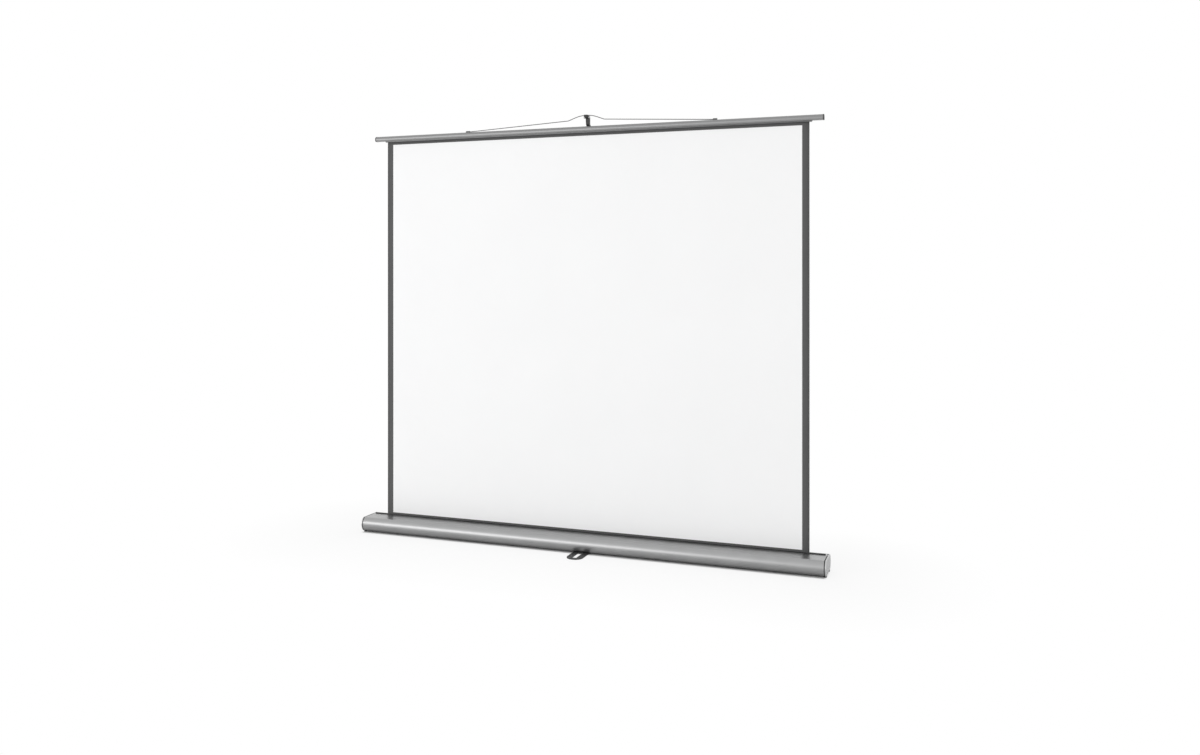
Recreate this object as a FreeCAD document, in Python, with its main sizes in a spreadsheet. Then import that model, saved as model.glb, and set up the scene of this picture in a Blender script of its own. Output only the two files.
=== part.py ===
import FreeCAD, Part
import math
import os
import re

import Sketcher

# Free-standing pull-up projection screen, in millimetres.
# +X runs along the case, to the right as seen by the viewers, -Y points at the viewers, +Z is up.
# The origin is on the floor under the middle of the case.

SIZES = {
    # Cloth
    "fabric_width": 1800.0,
    "fabric_thickness": 0.5,
    "screen_height": 1602.0,
    # Case: an oval aluminium profile, a flat top between two round flanks
    "case_overhang": 64.5,
    "case_underside": 14.0,
    "flank_radius": 34.3,
    "flank_offset": 30.7,
    "flank_drop": 29.0,
    "case_wall": 1.8,
    "web_gap": 3.55,
    "port_radius": 4.0,
    "port_gap": 0.1,
    "port_depth": 2.0,
    # Slot in the flat top and the lips that line it
    "slot_offset": 29.0,
    "slot_gap": 6.0,
    "lip_thickness": 2.0,
    "lip_height": 5.0,
    "lip_rise": 3.5,
    # End caps, the seals behind them and floor pads
    "seal_thickness": 4.0,
    "seal_inset": 0.4,
    "cap_depth": 4.5,
    "cap_round": 3.0,
    "tongue_length": 5.0,
    "boss_radius": 10.0,
    "boss_length": 12.0,
    "pad_radius": 6.0,
    "pad_inset": 0.5,
    "pad_spread": 40.0,
    # Tray and skid under the case
    "skid_thickness": 2.5,
    "tray_inset": 0.5,
    "tray_wall": 1.8,
    "tray_rim": 10.0,
    "groove_height": 1.5,
    "groove_depth": 1.5,
    # Screws
    "screw_radius": 1.5,
    "screw_head_radius": 3.4,
    "screw_head_height": 1.6,
    "screw_grip": 16.0,
    "tray_screw_spread": 620.0,
    "tray_screw_row": 28.0,
    # Clearances
    "running_gap": 0.3,
    "fit_gap": 0.05,
    # Spring roller
    "roll_clearance": 3.2,
    "wound_depth": 4.0,
    "roller_radius": 15.0,
    "roller_wall": 1.2,
    "roller_overhang": 30.0,
    "plug_length": 25.0,
    "flange_thickness": 3.0,
    "shaft_radius": 4.0,
    "shaft_seat": 2.0,
    "spring_clearance": 1.4,
    "spring_gap": 16.4,
    "spring_wire": 3.6,
    "spring_length": 560.0,
    "anchor_length": 12.0,
    "steady_length": 12.0,
    "bush_radius": 7.0,
    # Swivel foot
    "foot_offset": 23.0,
    "foot_gap": 1.0,
    "foot_reach": 146.0,
    "foot_width": 65.0,
    "foot_thickness": 4.0,
    "tip_flat": 5.0,
    "foot_edge": 1.2,
    "loop_bar": 16.0,
    "loop_gap": 19.0,
    "loop_length": 73.0,
    "grip_thickness": 1.0,
    "grip_length": 26.0,
    "grip_width": 8.0,
    "bolt_radius": 5.0,
    "bolt_head_radius": 9.0,
    "bolt_head_height": 1.8,
    "washer_radius": 12.0,
    "nut_radius": 8.0,
    # Mast
    "mast_offset": 14.0,
    "mast_gap": 3.0,
    "upper_radius": 8.5,
    "slide_gap": 0.8,
    "tube_wall": 1.2,
    "lower_top": 600.0,
    "mid_length": 625.0,
    "tube_overlap": 110.0,
    "mast_bush_length": 25.0,
    # Mast bracket on the back of the case
    "bracket_underside": 10.0,
    "bracket_floor": 4.0,
    "bracket_wall": 6.5,
    "bracket_plate": 4.0,
    "bracket_reach": 15.0,
    "bracket_screw_spread": 13.0,
    # Mast clamps
    "collar_wall": 5.0,
    "collar_height": 48.0,
    "collar_grip": 30.0,
    "lever_length": 40.0,
    "lever_thickness": 5.0,
    "lever_height": 14.0,
    "lever_gap": 0.6,
    "hub_radius": 5.0,
    "ear_thickness": 8.0,
    "ear_rim": 1.0,
    "lever_pin_radius": 2.0,
    # Top bar
    "bar_radius": 12.0,
    "bar_forward": 3.0,
    "bar_flat": 9.0,
    "bar_wall": 1.6,
    "bar_overhang": 51.0,
    "strip_height": 4.0,
    "strip_depth": 9.0,
    "strip_overhang": 9.0,
    "slit_gap": 1.2,
    "slit_spare": 2.0,
    "bar_cap_depth": 3.0,
    "bar_cap_lip": 0.4,
    "welt_radius": 2.0,
    # Wire bow
    "wire_radius": 1.5,
    "wire_reach": 520.0,
    "wire_lift": 2.0,
    "kink_offset": 77.0,
    "kink_rise": 25.5,
    "kink_radius": 8.0,
    "arch_peak": 28.0,
    "arch_share": 0.62,
    "clip_length": 16.0,
    "clip_depth": 9.0,
    "clip_cover": 2.0,
    # Hook on the mast
    "hook_drop": 19.0,
    "hook_width": 14.0,
    "nub_height": 1.5,
    "nub_depth": 6.0,
    "arm_depth": 9.0,
    "stem_offset": 20.0,
    "stem_depth": 15.0,
    "stem_taper": 3.0,
    "stem_length": 32.0,
    "heel_height": 6.0,
    "plug_depth": 40.0,
    "rivet_offset": 8.0,
    "rivet_drop": 4.5,
    "rivet_radius": 2.5,
    "rivet_head_radius": 5.5,
    "rivet_head_height": 5.0,
}

# Places and sizes worked out from those, each a formula in names that come before it
DERIVED = {
    # Case, from the cloth's width and the roll's size
    "case_end": "fabric_width / 2 + case_overhang",
    "cap_face": "case_end + seal_thickness",
    "cap_end": "cap_face + cap_depth",
    "tray_end": "case_end - tray_inset",
    "roll_radius": "roller_radius + wound_depth",
    "roller_y": "slot_offset - fabric_thickness / 2 - running_gap - roll_radius",
    "roller_z": "case_underside + case_wall + roll_clearance + roll_radius",
    "case_top": "roller_z + roll_radius + roll_clearance + case_wall",
    "flank_height": "case_top - flank_drop",
    "far": "flank_offset + flank_radius + cap_depth",
    "web_y": "roller_y - roll_radius - web_gap - case_wall / 2",
    # Base, over the foot
    "foot_top": "grip_thickness + foot_thickness",
    "foot_corner": "(foot_width - tip_flat) / 2",
    "base_underside": "foot_top + foot_gap",
    "skid_top": "base_underside + skid_thickness",
    "tray_floor": "skid_top + tray_wall",
    # Roller, and the spring from its left plug inwards
    "roller_end": "fabric_width / 2 + roller_overhang",
    "roller_bore": "roller_radius - roller_wall",
    "loose_plug": "roller_bore - fit_gap",
    "spring_bore": "shaft_radius + spring_clearance",
    "spring_radius": "spring_bore + spring_wire",
    "spring_outer_end": "roller_end - plug_length - spring_gap",
    "spring_inner_end": "spring_outer_end - spring_length",
    "anchor_inner_end": "spring_inner_end - anchor_length",
    "steady_outer_end": "anchor_inner_end - 2 * running_gap",
    "shaft_inner_end": "steady_outer_end - steady_length",
    "shaft_outer_end": "cap_face + shaft_seat",
    # Top bar
    "strip_bottom": "case_top + screen_height",
    "strip_top": "strip_bottom + strip_height",
    "bar_y": "slot_offset - bar_forward",
    "bar_z": "strip_top + bar_flat",
    "bar_top": "bar_z + bar_radius",
    "bar_end": "fabric_width / 2 + bar_overhang",
    "strip_end": "fabric_width / 2 + strip_overhang",
    "welt_z": "strip_top + bar_wall + welt_radius + fit_gap",
    # Wire bow and the hook's seat under its arch
    "arch_side": "sqrt(kink_offset ^ 2 + arch_peak ^ 2)",
    "arch_drop": "arch_share * arch_side * (arch_side - kink_offset) / arch_peak",
    "apex_z": "bar_top + kink_rise + arch_peak - arch_drop",
    "seat_half": "wire_radius + running_gap",
    "seat_z": "apex_z - seat_half",
    # Mast, from the inner tube outwards
    "mid_radius": "upper_radius + tube_wall + slide_gap",
    "lower_radius": "mid_radius + tube_wall + slide_gap",
    "mast_y": "flank_offset + flank_radius + mast_gap + lower_radius",
    "lower_foot": "bracket_underside + bracket_floor",
    "mid_foot": "lower_top - tube_overlap",
    "mid_top": "mid_foot + mid_length",
    "upper_foot": "mid_top - tube_overlap",
    "upper_top": "bar_top - hook_drop",
    # Hook, from the wire's seat back and down to the mast
    "stem_y": "slot_offset + stem_offset",
    "stem_foot": "seat_z - stem_length",
    "hook_foot": "upper_top + tube_wall",
    "rivet_y": "slot_offset + rivet_offset",
    "rivet_z": "seat_z - rivet_drop",
}

ALONG_X = FreeCAD.Rotation(FreeCAD.Vector(0, 1, 0), 90)
ALONG_Z = FreeCAD.Rotation()
SIDES = (-1, 1)
TOUCH = 1e-6

doc = FreeCAD.newDocument("projection_screen")
sheet = doc.addObject("Spreadsheet::Sheet", "Sizes")
for row, (alias, number) in enumerate(SIZES.items(), start=1):
    sheet.set(f"A{row}", alias)
    sheet.set(f"B{row}", str(number))
    sheet.setAlias(f"B{row}", alias)
doc.recompute()

nodes = []


def bound(formula):
    """Formula in size names and derived names, rewritten to read the sheet."""
    def cell(match):
        word = match[0]
        if word in DERIVED:
            return f"({bound(DERIVED[word])})"
        return "Sizes." + word if word in SIZES else word
    return re.sub(r"[a-z_]+", cell, formula)


def value(formula):
    """Number that a formula in size names comes to."""
    return float(sheet.evalExpression(bound(formula)))


def primitive(kind, name, sizes, at, turn=ALONG_Z):
    """Solid of the given kind whose sizes and place follow formulas."""
    solid = doc.addObject(kind, name)
    solid.Placement = FreeCAD.Placement(FreeCAD.Vector(), turn)
    for size, formula in sizes.items():
        solid.setExpression(size, bound(formula))
    for axis, formula in zip("xyz", at):
        solid.setExpression(f"Placement.Base.{axis}", bound(formula))
    return solid


def block(name, x, y, z):
    """Box between pairs of planes."""
    spans = {"Length": x, "Width": y, "Height": z}
    sizes = {side: f"({high}) - ({low})" for side, (low, high) in spans.items()}
    return primitive("Part::Box", name, sizes, (x[0], y[0], z[0]))


def rod(name, radius, x, y, z):
    """Cylinder along the one axis that is given as a pair of planes, X or Z."""
    if isinstance(x, tuple):
        sizes = {"Radius": radius, "Height": f"({x[1]}) - ({x[0]})"}
        return primitive("Part::Cylinder", name, sizes, (x[0], y, z), ALONG_X)
    sizes = {"Radius": radius, "Height": f"({z[1]}) - ({z[0]})"}
    return primitive("Part::Cylinder", name, sizes, (x, y, z[0]))


def fuse(name, *solids):
    joined = doc.addObject("Part::MultiFuse", name)
    joined.Shapes = list(solids)
    joined.Refine = True
    return joined


def cut(name, base, *tools):
    """Base less every tool."""
    result = doc.addObject("Part::Cut", name)
    result.Base = base
    result.Tool = tools[0] if len(tools) == 1 else fuse(name + "_tools", *tools)
    return result


def common(name, *solids):
    shared = doc.addObject("Part::MultiCommon", name)
    shared.Shapes = list(solids)
    return shared


def group(name, solids):
    """Separate solids that share a node."""
    members = doc.addObject("Part::Compound", name)
    members.Links = list(solids)
    return members


def tube(name, outer, inner, x, y, z):
    return cut(name, rod(name + "_outer", outer, x, y, z), rod(name + "_bore", inner, x, y, z))


def roller_rod(name, radius, x):
    return rod(name, radius, x, "roller_y", "roller_z")


def roller_ring(name, outer, inner, x):
    return tube(name, outer, inner, x, "roller_y", "roller_z")


def mast_rod(name, radius, z):
    return rod(name, radius, "mast_offset", "mast_y", z)


def mast_ring(name, outer, inner, z):
    return tube(name, outer, inner, "mast_offset", "mast_y", z)


def pivot_rod(name, radius, z):
    return rod(name, radius, "foot_offset", "0", z)


def pivot_ring(name, outer, inner, z):
    return tube(name, outer, inner, "foot_offset", "0", z)


def node(name, solid):
    """Name a finished sub-part."""
    solid.Label = name
    nodes.append(solid)
    return solid


def mirrored(side, low, high):
    """Pair of planes on one side of the middle plane, in rising order."""
    return (low, high) if side > 0 else (f"-({high})", f"-({low})")


def hand(side):
    return "right" if side > 0 else "left"


def shifted(offset, planes):
    """Pair of planes moved along their axis."""
    return tuple(f"{offset} + ({plane})" for plane in planes)


def oval(name, inset, x, z):
    """Length of the case's oval section between two heights, its flanks set in by a given depth."""
    radius = f"flank_radius - ({inset})"
    flanks = [rod(f"{name}_flank_{index}", radius, x, f"{side} * flank_offset", "flank_height")
              for index, side in enumerate(SIDES)]
    core = block(name + "_core", x, ("-flank_offset", "flank_offset"), z)
    band = block(name + "_band", x, ("-far", "far"), z)
    return common(name, fuse(name + "_round", *flanks, core), band)


def sketch_on(body, name, role):
    """Empty sketch on one of the body's planes."""
    sketch = body.newObject("Sketcher::SketchObject", name)
    plane = [feature for feature in body.Origin.OriginFeatures if feature.Role == role][0]
    sketch.AttachmentSupport = [(plane, "")]
    sketch.MapMode = "FlatFace"
    return sketch


def outline(body, name, role, corners):
    """Closed sketch of straight lines on one of the body's planes, every corner held by two formulas."""
    sketch = sketch_on(body, name, role)
    places = [FreeCAD.Vector(value(u), value(v), 0) for u, v in corners]
    for start, end in zip(places, places[1:] + places[:1]):
        sketch.addGeometry(Part.LineSegment(start, end), False)
    for line in range(len(corners)):
        sketch.addConstraint(Sketcher.Constraint("Coincident", line, 2, (line + 1) % len(corners), 1))
    for line, corner in enumerate(corners):
        for direction, formula in zip(("DistanceX", "DistanceY"), corner):
            number = sketch.addConstraint(Sketcher.Constraint(direction, -1, 1, line, 1, value(formula)))
            sketch.setExpression(f"Constraints[{number}]", bound(formula))
    return sketch


def circle(body, name, role, radius):
    """Sketch of one circle about the body's origin."""
    sketch = sketch_on(body, name, role)
    sketch.addGeometry(Part.Circle(FreeCAD.Vector(), FreeCAD.Vector(0, 0, 1), value(radius)), False)
    sketch.addConstraint(Sketcher.Constraint("Coincident", 0, 3, -1, 1))
    number = sketch.addConstraint(Sketcher.Constraint("Radius", 0, value(radius)))
    sketch.setExpression(f"Constraints[{number}]", bound(radius))
    return sketch


def pad(body, name, sketch, length, symmetric=False):
    feature = body.newObject("PartDesign::Pad", name)
    feature.Profile = sketch
    feature.setExpression("Length", bound(length))
    if symmetric:
        feature.SideType = "Symmetric"
    return feature


def pocket(body, name, sketch, length):
    """Cut upwards from the sketch's plane, refused if it takes nothing away."""
    doc.recompute()
    before = body.Shape.Volume
    feature = body.newObject("PartDesign::Pocket", name)
    feature.Profile = sketch
    feature.Reversed = True
    feature.setExpression("Length", bound(length))
    doc.recompute()
    if feature.Shape.Volume >= before:
        raise RuntimeError(f"{name} cuts nothing")
    return feature


def rounding(body, name, base, edges, radius):
    """Fillet on the edges that a test picks out of the base feature."""
    doc.recompute()
    picked = [f"Edge{index}" for index, edge in enumerate(base.Shape.Edges, start=1) if edges(edge)]
    feature = body.newObject("PartDesign::Fillet", name)
    feature.Base = (base, picked)
    feature.setExpression("Radius", bound(radius))
    return feature


def round_end(name, base, end, radius):
    """Solid with the rim of its face at the plane X = end rounded."""
    doc.recompute()
    plane = value(end)
    rim = [index for index, edge in enumerate(base.Shape.Edges, start=1)
           if all(abs(vertex.X - plane) < TOUCH for vertex in edge.Vertexes)]
    feature = doc.addObject("Part::Fillet", name)
    feature.Base = base
    feature.Edges = [(index, value(radius), value(radius)) for index in rim]
    return feature


def case_ports(name, radius, x):
    """Rods along the case, in the four places where its screw ports run."""
    flank_y = "(flank_offset + flank_radius - case_wall - port_depth)"
    places = {
        "front": (f"-{flank_y}", "flank_height"),
        "back": (flank_y, "flank_height"),
        "top": ("web_y", "case_top - case_wall - port_depth"),
        "bottom": ("web_y", "case_underside + case_wall + port_depth"),
    }
    return [rod(f"{name}_{place}", radius, x, y, z) for place, (y, z) in places.items()]


def screw(name, x, y, head, length, upwards):
    """Vertical screw: its head stands on the given height, and its shank runs up or down from the head."""
    crown = f"({head}) + screw_head_height"
    shank = (crown, f"{crown} + ({length})") if upwards else (f"({head}) - ({length})", head)
    return fuse(name, rod(name + "_head", "screw_head_radius", x, y, (head, crown)),
                rod(name + "_shank", "screw_radius", x, y, shank))


def build_case():
    """Oval profile with a front chamber, a roller chamber, screw ports and the slot."""
    whole = ("-case_end", "case_end")
    outer = oval("case_outer", "0", whole, ("case_underside", "case_top"))
    inner = oval("case_inner", "case_wall", whole, ("case_underside + case_wall", "case_top - case_wall"))
    web = block("case_web", whole, ("web_y - case_wall / 2", "web_y + case_wall / 2"),
                ("case_underside", "case_top"))
    hollow = cut("case_hollow", inner, web, *case_ports("case_port", "port_radius", whole))
    slot = block("case_slot", whole, ("slot_offset - slot_gap / 2", "slot_offset + slot_gap / 2"),
                 ("case_top - 2 * case_wall", "case_top + case_wall"))
    bores = case_ports("case_port_bore", "screw_radius + port_gap", whole)
    screw_holes = bracket_screw_rods("case_bracket_hole", "screw_radius + fit_gap")
    screw_holes += tray_screw_rods("case_tray_hole", "screw_radius + fit_gap")
    node("case_extrusion", cut("case_extrusion", outer, hollow, slot, *bores, *screw_holes))


def tray_screw_places():
    """Middle of each tray screw: one row of four, clear of the foot's pivot."""
    columns = [f"{side} * tray_screw_spread / {share}" for side in SIDES for share in (1, 2)]
    return [(x, "-tray_screw_row") for x in columns]


def tray_screw_rods(name, radius):
    return [rod(f"{name}_{index}", radius, x, y, ("base_underside", "case_underside + case_wall"))
            for index, (x, y) in enumerate(tray_screw_places())]


def build_base():
    """Tray with a groove under its rim, black skid below it, and the screws that hold both."""
    whole = ("-tray_end", "tray_end")
    groove = "(case_underside - groove_height)"
    lip = oval("tray_lip", "0", whole, ("skid_top", groove))
    neck = oval("tray_neck", "groove_depth", whole, ("skid_top", "case_underside"))
    rim = "(flank_offset + flank_radius / 2 - tray_rim)"
    hollow = block("tray_hollow", whole, (f"-{rim}", rim), ("tray_floor", "case_underside + case_wall"))
    holes = tray_screw_rods("tray_hole", "screw_radius + fit_gap")
    pivot = pivot_rod("tray_pivot_hole", "bolt_radius + fit_gap", ("base_underside", "case_underside"))
    node("base_tray", cut("base_tray", fuse("tray_body", lip, neck), hollow, pivot, *holes))
    plate = oval("skid_plate", "0", whole, ("base_underside", "skid_top"))
    heads = tray_screw_rods("skid_hole", "screw_head_radius + running_gap")
    pivot = pivot_rod("skid_pivot_hole", "bolt_radius + fit_gap", ("base_underside", "case_underside"))
    node("base_skid", cut("base_skid", plate, pivot, *heads))
    screws = [screw(f"tray_screw_{index}", x, y, "skid_top - screw_head_height",
                    "case_underside + case_wall - skid_top", True)
              for index, (x, y) in enumerate(tray_screw_places())]
    node("tray_screws", group("tray_screws", screws))


def build_cap(side):
    """End cap: rounded oval plate, tongue that closes the slot's end, boss for the roller's bearing."""
    name = f"end_cap_{hand(side)}"
    plate = oval(name + "_plate", "0", mirrored(side, "cap_face", "cap_end"), ("base_underside", "case_top"))
    shell = round_end(name + "_shell", plate, f"{side} * cap_end", "cap_round")
    tongue = block(name + "_tongue", mirrored(side, "case_end - tongue_length", "cap_face"),
                   ("slot_offset - slot_gap / 2 + fit_gap", "slot_offset + slot_gap / 2 - fit_gap"),
                   ("case_top - case_wall", "case_top"))
    boss = roller_rod(name + "_boss", "boss_radius", mirrored(side, "case_end - boss_length", "cap_face"))
    seat = "bush_radius" if side > 0 else "shaft_radius + fit_gap"
    bore = roller_rod(name + "_bore", seat, mirrored(side, "case_end - boss_length", "cap_face + shaft_seat"))
    shanks = case_ports(name + "_hole", "screw_radius + fit_gap", mirrored(side, "cap_face", "cap_end"))
    heads = case_ports(name + "_recess", "screw_head_radius + fit_gap",
                       mirrored(side, "cap_end - screw_head_height", "cap_end"))
    node(name, cut(name, fuse(name + "_body", shell, tongue, boss), bore, *shanks, *heads))


def build_seal(side):
    """Rubber plate between the case and an end cap, open for the cap's tongue, boss and screws."""
    name = f"end_seal_{hand(side)}"
    planes = mirrored(side, "case_end", "cap_face")
    plate = oval(name + "_plate", "seal_inset", planes, ("base_underside", "case_top - seal_inset"))
    notch = block(name + "_notch", planes, ("slot_offset - slot_gap / 2", "slot_offset + slot_gap / 2"),
                  ("case_top - case_wall - fit_gap", "case_top"))
    mouth = roller_rod(name + "_mouth", "boss_radius + fit_gap", planes)
    holes = case_ports(name + "_hole", "screw_radius + fit_gap", planes)
    node(name, cut(name, plate, notch, mouth, *holes))


def build_cap_screws():
    """Screws that run through the end caps into the case's ports."""
    screws = []
    for side in SIDES:
        name = f"cap_screw_{hand(side)}"
        neck = "cap_end - screw_head_height"
        heads = case_ports(name + "_head", "screw_head_radius", mirrored(side, neck, "cap_end"))
        shanks = case_ports(name + "_shank", "screw_radius", mirrored(side, f"{neck} - screw_grip", neck))
        screws += [fuse(f"{name}_{index}", *pair) for index, pair in enumerate(zip(heads, shanks))]
    node("end_cap_screws", group("end_cap_screws", screws))


def build_pads():
    """Rubber pads under the very ends of the case."""
    pads = []
    for side in SIDES:
        for row in SIDES:
            pads.append(rod(f"floor_pad_{side + 1}_{row + 1}", "pad_radius",
                            f"{side} * (cap_end - pad_inset - pad_radius)", f"{row} * pad_spread",
                            ("0", "base_underside")))
    node("floor_pads", group("floor_pads", pads))


def build_lips():
    """Dark strips along both edges of the slot, between the end caps' tongues."""
    reach = "(case_end - tongue_length - running_gap)"
    height = ("case_top - lip_height", "case_top + lip_rise")
    lips = []
    for side in SIDES:
        planes = shifted("slot_offset", mirrored(side, "slot_gap / 2 - lip_thickness", "slot_gap / 2"))
        lips.append(block(f"slot_lip_{side + 1}", (f"-{reach}", reach), planes, height))
    node("slot_lips", group("slot_lips", lips))


def build_spring():
    """Fixed shaft in the left end cap, with the torsion spring wound round it and held at its inner end."""
    node("spring_shaft", roller_rod("spring_shaft", "shaft_radius", ("-shaft_outer_end", "-shaft_inner_end")))
    node("spring_anchor", roller_ring("spring_anchor", "spring_radius", "shaft_radius + fit_gap",
                                      ("-spring_inner_end", "-anchor_inner_end")))
    node("torsion_spring", roller_ring("torsion_spring", "spring_radius", "spring_bore",
                                       ("-spring_outer_end", "-spring_inner_end")))


def build_roller():
    """Roller tube with the wound cloth, plugs at both ends and a disc that steadies the fixed shaft."""
    cloth = ("-fabric_width / 2", "fabric_width / 2")
    loose_shaft = "shaft_radius + fit_gap"
    plug_start = "roller_end - plug_length"
    flange_end = "roller_end + flange_thickness"
    node("roller_tube", roller_ring("roller_tube", "roller_radius", "roller_bore",
                                    ("-roller_end", "roller_end")))
    node("fabric_roll", roller_ring("fabric_roll", "roll_radius", "roller_radius + fit_gap", cloth))
    for side in SIDES:
        name = f"roller_plug_{hand(side)}"
        stub = roller_rod(name + "_stub", "loose_plug", mirrored(side, plug_start, "roller_end"))
        flange = roller_rod(name + "_flange", "roller_radius", mirrored(side, "roller_end", flange_end))
        if side > 0:
            pin = roller_rod(name + "_pin", "shaft_radius", (flange_end, "case_end - running_gap"))
            node(name, fuse(name, stub, flange, pin))
        else:
            bore = roller_rod(name + "_bore", loose_shaft, mirrored(side, plug_start, flange_end))
            node(name, cut(name, fuse(name + "_body", stub, flange), bore))
    node("roller_steady", roller_ring("roller_steady", "loose_plug", loose_shaft,
                                      ("-steady_outer_end", "-shaft_inner_end")))
    node("roller_bush", roller_ring("roller_bush", "bush_radius - fit_gap", loose_shaft,
                                    ("case_end - boss_length", "case_end")))


def build_fabric():
    """Cloth from the roll, up through the slot, to the welt in the top bar."""
    node("screen_fabric", block("screen_fabric", ("-fabric_width / 2", "fabric_width / 2"),
                                ("slot_offset - fabric_thickness / 2", "slot_offset + fabric_thickness / 2"),
                                ("roller_z", "welt_z - welt_radius - fit_gap")))
    node("fabric_welt", rod("fabric_welt", "welt_radius", ("-fabric_width / 2", "fabric_width / 2"),
                            "slot_offset", "welt_z"))


def build_bar():
    """Round-topped hollow bar with its end caps, and the clamp strip under it."""
    whole = ("-bar_end", "bar_end")
    slit_x = ("-fabric_width / 2 - slit_spare", "fabric_width / 2 + slit_spare")
    slit_y = ("slot_offset - slit_gap / 2", "slot_offset + slit_gap / 2")
    near = ("slot_offset - strip_depth / 2", "slot_offset + strip_depth / 2")
    wide = ("-far", "far")
    outer = common("bar_outer", rod("bar_round", "bar_radius", whole, "bar_y", "bar_z"),
                   block("bar_band", whole, wide, ("strip_top", "bar_top")))
    inner = common("bar_inner", rod("bar_bore", "bar_radius - bar_wall", whole, "bar_y", "bar_z"),
                   block("bar_inner_band", whole, wide, ("strip_top + bar_wall", "bar_top")))
    slit = block("bar_slit", slit_x, slit_y, ("strip_top - bar_wall", "strip_top + 2 * bar_wall"))
    holes = strip_screw_rods("bar_screw_hole", "screw_radius + fit_gap")
    node("top_bar", cut("top_bar", outer, inner, slit, *holes))
    strip = block("strip_body", ("-strip_end", "strip_end"), near, ("strip_bottom", "strip_top"))
    slit = block("strip_slit", slit_x, slit_y, ("strip_bottom - bar_wall", "strip_top + bar_wall"))
    holes = strip_screw_rods("strip_screw_hole", "screw_radius + fit_gap")
    recesses = [rod(f"strip_recess_{index}", "screw_head_radius + fit_gap", x, "slot_offset",
                    ("strip_bottom", "strip_bottom + screw_head_height"))
                for index, x in enumerate(strip_screw_places())]
    node("bar_strip", cut("bar_strip", strip, slit, *holes, *recesses))
    screws = [screw(f"strip_screw_{index}", x, "slot_offset", "strip_bottom",
                    "strip_height - screw_head_height + bar_wall", True)
              for index, x in enumerate(strip_screw_places())]
    node("strip_screws", group("strip_screws", screws))
    for side in SIDES:
        name = f"bar_cap_{hand(side)}"
        planes = mirrored(side, "bar_end", "bar_end + bar_cap_depth")
        rim = rod(name + "_round", "bar_radius + bar_cap_lip", planes, "bar_y", "bar_z")
        band = block(name + "_band", planes, wide, ("strip_top - bar_cap_lip", "bar_top + bar_cap_lip"))
        node(name, common(name, rim, band))


def strip_screw_places():
    return [f"{side} * (strip_end - screw_head_radius - running_gap)" for side in SIDES]


def strip_screw_rods(name, radius):
    return [rod(f"{name}_{index}", radius, x, "slot_offset", ("strip_bottom", "strip_top + 2 * bar_wall"))
            for index, x in enumerate(strip_screw_places())]


def rounded_path(points, radii):
    """Straight runs joined by tangent arcs, with a radius for each inner point."""
    edges = []
    start = points[0]
    for before, corner, after, radius in zip(points, points[1:], points[2:], radii):
        back = (before - corner).normalize()
        ahead = (after - corner).normalize()
        half = back.getAngle(ahead) / 2
        trim = radius / math.tan(half)
        middle = (back + ahead).normalize() * (radius / math.sin(half) - radius)
        enter = corner + back * trim
        leave = corner + ahead * trim
        edges.append(Part.LineSegment(start, enter).toShape())
        edges.append(Part.Arc(enter, corner + middle, leave).toShape())
        start = leave
    edges.append(Part.LineSegment(start, points[-1]).toShape())
    return Part.Wire(edges)


def build_wire():
    """Stiff wire bow: two long straight legs, a kink at each side and an arch over the mast."""
    middle = value("mast_offset")
    y = value("slot_offset")
    leg = (value("wire_reach"), value("bar_top + wire_lift"))
    kink = (value("kink_offset"), value("bar_top + kink_rise"))
    peak = value("bar_top + kink_rise + arch_peak")
    points = [FreeCAD.Vector(middle + x, y, z) for x, z in
              ((-leg[0], leg[1]), (-kink[0], kink[1]), (0, peak), kink, leg)]
    arch_radius = value("arch_share * arch_side * kink_offset / arch_peak")
    radii = (value("kink_radius"), arch_radius, value("kink_radius"))
    path = rounded_path(points, radii)
    ring = Part.Circle(points[0], points[1] - points[0], value("wire_radius")).toShape()
    wire = doc.addObject("Part::Feature", "hanger_wire")
    wire.Shape = path.makePipeShell([Part.Wire(ring)], True, False)
    expected = math.pi * value("wire_radius") ** 2 * path.Length
    print(f"hanger_wire: length {path.Length:.1f}, volume {wire.Shape.Volume:.0f}, expected {expected:.0f}")
    node("hanger_wire", wire)


def build_clips():
    """Saddles on the bar that hold the ends of the wire."""
    clips = []
    for side in SIDES:
        name = f"wire_clip_{hand(side)}"
        planes = shifted("mast_offset", mirrored(side, "wire_reach", "wire_reach + clip_length"))
        body = block(name + "_body", planes, ("slot_offset - clip_depth / 2", "slot_offset + clip_depth / 2"),
                     ("bar_z", "bar_top + wire_lift + wire_radius + clip_cover"))
        saddle = rod(name + "_saddle", "bar_radius", planes, "bar_y", "bar_z")
        clips.append(cut(name, body, saddle))
    node("wire_clips", group("wire_clips", clips))


def bracket_screw_places():
    y = "slot_offset + slot_gap / 2 + bracket_reach / 2 + bracket_plate / 2"
    return [(f"mast_offset + {side} * bracket_screw_spread", y) for side in SIDES]


def bracket_screw_rods(name, radius):
    return [rod(f"{name}_{index}", radius, x, y, ("case_top - 2 * case_wall", "case_top + bracket_plate"))
            for index, (x, y) in enumerate(bracket_screw_places())]


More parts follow.
